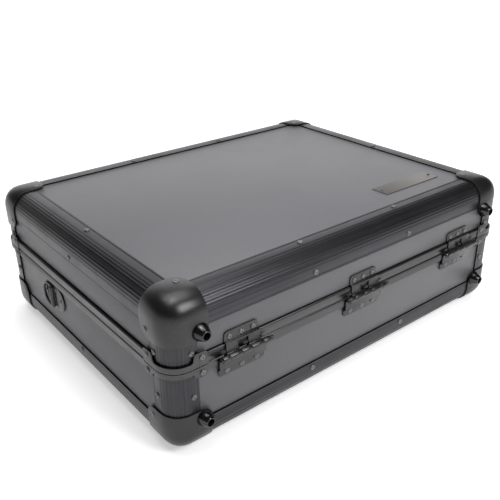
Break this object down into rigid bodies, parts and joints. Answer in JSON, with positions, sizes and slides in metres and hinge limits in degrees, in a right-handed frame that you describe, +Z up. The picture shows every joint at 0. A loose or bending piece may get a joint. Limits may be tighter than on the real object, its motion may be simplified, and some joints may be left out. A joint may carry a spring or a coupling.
{
  "type": "dj case",
  "caption": "Black hinged equipment case with ribbed edge extrusions, ball corners, a tongue and groove closing profile, cone feet on the hinge side, strap rings and a front handle.",
  "frame": {"origin": "on the floor, in the middle of the bounding box of the closed case", "axes": "+X along the case to its right side as seen from the front, +Y towards the hinges, +Z up through the lid"},
  "size_m": [0.5402, 0.4372, 0.1797],
  "materials": {
    "black_laminate": "black laminate with a fine grain on plywood",
    "black_anodised": "black anodised extrusion, satin",
    "black_steel": "gloss black painted pressed steel",
    "black_rubber": "matte black rubber grip",
    "charcoal_foam": "charcoal open-cell foam"
  },
  "bodies": {
    "base": {"base_bottom_panel": "black_laminate", "base_rear_panel": "black_laminate", "base_rear_edge": "black_anodised", "base_front_panel": "black_laminate", "base_front_edge": "black_anodised", "base_left_panel": "black_laminate", "base_left_edge": "black_anodised", "base_right_panel": "black_laminate", "base_right_edge": "black_anodised", "base_front_left_post": "black_anodised", "base_front_left_ball_corner": "black_steel", "base_front_right_post": "black_anodised", "base_front_right_ball_corner": "black_steel", "base_rear_left_post": "black_anodised", "base_rear_left_ball_corner": "black_steel", "base_rear_right_post": "black_anodised", "base_rear_right_ball_corner": "black_steel", "base_closing_frame": "black_anodised", "base_foam_pad": "charcoal_foam", "hinge_left_lower_leaf": "black_steel", "hinge_left_pin": "black_steel", "hinge_centre_lower_leaf": "black_steel", "hinge_centre_pin": "black_steel", "hinge_right_lower_leaf": "black_steel", "hinge_right_pin": "black_steel", "strap_plate_left": "black_steel", "latch_left_box": "black_steel", "strap_plate_right": "black_steel", "latch_right_box": "black_steel", "handle_plate": "black_steel"},
    "lid": {"lid_top_panel": "black_laminate", "lid_rear_panel": "black_laminate", "lid_rear_edge": "black_anodised", "lid_front_panel": "black_laminate", "lid_front_edge": "black_anodised", "lid_left_panel": "black_laminate", "lid_left_edge": "black_anodised", "lid_right_panel": "black_laminate", "lid_right_edge": "black_anodised", "lid_front_left_post": "black_anodised", "lid_front_left_ball_corner": "black_steel", "lid_front_right_post": "black_anodised", "lid_front_right_ball_corner": "black_steel", "lid_rear_left_post": "black_anodised", "lid_rear_left_ball_corner": "black_steel", "lid_rear_right_post": "black_anodised", "lid_rear_right_ball_corner": "black_steel", "lid_closing_frame": "black_anodised", "lid_foam_pad": "charcoal_foam", "hinge_left_upper_leaf": "black_steel", "hinge_centre_upper_leaf": "black_steel", "hinge_right_upper_leaf": "black_steel"},
    "strap_ring_left": {"strap_ring_left": "black_steel"},
    "strap_ring_right": {"strap_ring_right": "black_steel"},
    "latch_left_hasp": {"latch_left_hasp": "black_steel"},
    "latch_right_hasp": {"latch_right_hasp": "black_steel"},
    "latch_left_button": {"latch_left_button": "black_steel"},
    "latch_right_button": {"latch_right_button": "black_steel"},
    "handle": {"handle_bail": "black_steel", "handle_grip": "black_rubber"}
  },
  "joints": [
    {"name": "lid_hinge", "type": "hinge", "parent": "base", "child": "lid", "pos_m": [0, 0.21405, 0.1023], "axis": [-1, 0, 0], "range_deg": [0, 100]},
    {"name": "latch_left_hasp_hinge", "type": "hinge", "parent": "base", "child": "latch_left_hasp", "pos_m": [-0.165, -0.21055, 0.0863], "axis": [-1, 0, 0], "range_deg": [0, 180]},
    {"name": "latch_left_button_slide", "type": "slide", "parent": "base", "child": "latch_left_button", "axis": [1, 0, 0], "range_m": [0, 0.004], "stiffness_N_per_m": 150},
    {"name": "latch_right_hasp_hinge", "type": "hinge", "parent": "base", "child": "latch_right_hasp", "pos_m": [0.165, -0.21055, 0.0863], "axis": [-1, 0, 0], "range_deg": [0, 180]},
    {"name": "latch_right_button_slide", "type": "slide", "parent": "base", "child": "latch_right_button", "axis": [1, 0, 0], "range_m": [0, 0.004], "stiffness_N_per_m": 150},
    {"name": "handle_hinge", "type": "hinge", "parent": "base", "child": "handle", "pos_m": [0, -0.21175, 0.0748], "axis": [-1, 0, 0], "range_deg": [0, 110]},
    {"name": "strap_ring_left_swivel", "type": "hinge", "parent": "base", "child": "strap_ring_left", "pos_m": [-0.267, -0.06365, 0.073], "axis": [0, 0, -1], "range_deg": [0, 180]},
    {"name": "strap_ring_right_swivel", "type": "hinge", "parent": "base", "child": "strap_ring_right", "pos_m": [0.267, -0.06365, 0.073], "axis": [0, 0, 1], "range_deg": [0, 180]}
  ]
}
